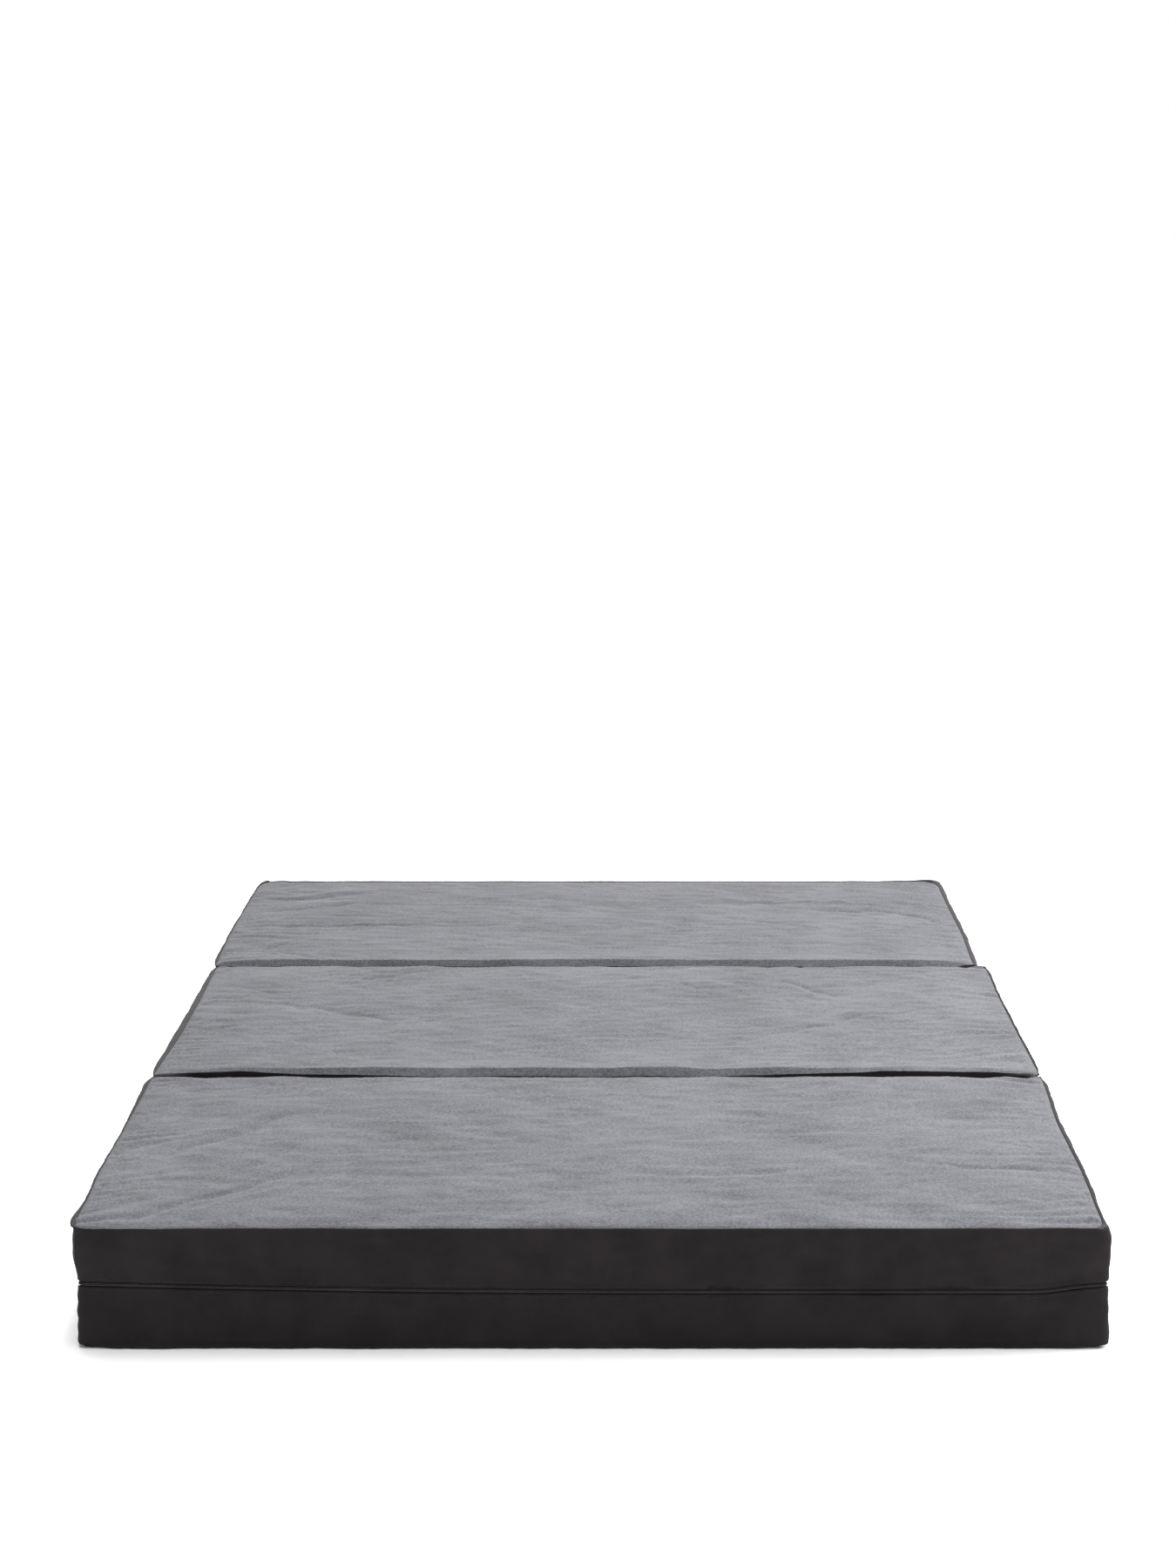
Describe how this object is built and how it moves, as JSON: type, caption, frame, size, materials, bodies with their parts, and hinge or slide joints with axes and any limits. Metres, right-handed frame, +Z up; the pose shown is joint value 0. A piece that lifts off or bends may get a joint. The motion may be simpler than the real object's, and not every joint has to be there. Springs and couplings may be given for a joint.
{
  "type": "folding memory foam mattress",
  "caption": "Folding foam mattress lying open: equal padded sections in zipped grey and black covers, joined by cloth hinges at the base and at the top so that they fold in a Z.",
  "frame": {"origin": "on the floor under the middle of the open mattress", "axes": "+Z up, +Y along the open mattress from the front section to the back section, +X to the right"},
  "size_m": [1.3594, 1.9, 0.16],
  "materials": {
    "velour": "matte",
    "border_cloth": "matte",
    "base_cloth": "matte",
    "zip_tape": "matte",
    "zip_teeth": "satin",
    "zip_metal": "satin",
    "base_foam": "matte",
    "memory_foam": "matte"
  },
  "bodies": {
    "back_section": {"back_base_foam": "base_foam", "back_memory_foam": "memory_foam", "back_top_panel": "velour", "back_base_panel": "base_cloth", "back_upper_border": "border_cloth", "back_lower_border": "border_cloth", "back_upper_zip_tape": "zip_tape", "back_lower_zip_tape": "zip_tape", "back_zip_chain": "zip_teeth", "back_zip_stops": "zip_metal", "top_hinge_web": "velour"},
    "middle_section": {"middle_base_foam": "base_foam", "middle_memory_foam": "memory_foam", "middle_top_panel": "velour", "middle_base_panel": "base_cloth", "middle_upper_border": "border_cloth", "middle_lower_border": "border_cloth", "middle_upper_zip_tape": "zip_tape", "middle_lower_zip_tape": "zip_tape", "middle_zip_chain": "zip_teeth", "middle_zip_stops": "zip_metal", "base_hinge_web": "base_cloth"},
    "front_section": {"front_base_foam": "base_foam", "front_memory_foam": "memory_foam", "front_top_panel": "velour", "front_base_panel": "base_cloth", "front_upper_border": "border_cloth", "front_lower_border": "border_cloth", "front_upper_zip_tape": "zip_tape", "front_lower_zip_tape": "zip_tape", "front_zip_chain": "zip_teeth", "front_zip_stops": "zip_metal"},
    "back_slider": {"back_zip_slider": "zip_metal"},
    "back_pull": {"back_zip_pull": "zip_metal"},
    "middle_slider": {"middle_zip_slider": "zip_metal"},
    "middle_pull": {"middle_zip_pull": "zip_metal"},
    "front_slider": {"front_zip_slider": "zip_metal"},
    "front_pull": {"front_zip_pull": "zip_metal"}
  },
  "joints": [
    {"name": "top_fold", "type": "hinge", "parent": "back_section", "child": "middle_section", "pos_m": [0, 0.31725, 0.1705], "axis": [-1, 0, 0], "range_deg": [0, 180]},
    {"name": "base_fold", "type": "hinge", "parent": "middle_section", "child": "front_section", "pos_m": [0, -0.31725, -0.0005], "axis": [1, 0, 0], "range_deg": [0, 180]},
    {"name": "front_zip_slide", "type": "slide", "parent": "front_section", "child": "front_slider", "axis": [0, -1, 0], "range_m": [0, 0.54]},
    {"name": "middle_zip_slide", "type": "slide", "parent": "middle_section", "child": "middle_slider", "axis": [0, -1, 0], "range_m": [0, 0.54]},
    {"name": "back_zip_slide", "type": "slide", "parent": "back_section", "child": "back_slider", "axis": [0, 1, 0], "range_m": [0, 0.54]},
    {"name": "front_pull_swing", "type": "hinge", "parent": "front_slider", "child": "front_pull", "pos_m": [0.6776, -0.3563, 0.076], "axis": [0, 0, 1], "range_deg": [0, 180]},
    {"name": "middle_pull_swing", "type": "hinge", "parent": "middle_slider", "child": "middle_pull", "pos_m": [-0.6776, 0.2782, 0.076], "axis": [0, 0, -1], "range_deg": [0, 180]},
    {"name": "back_pull_swing", "type": "hinge", "parent": "back_slider", "child": "back_pull", "pos_m": [0.6776, 0.3563, 0.076], "axis": [0, 0, -1], "range_deg": [0, 180]}
  ]
}
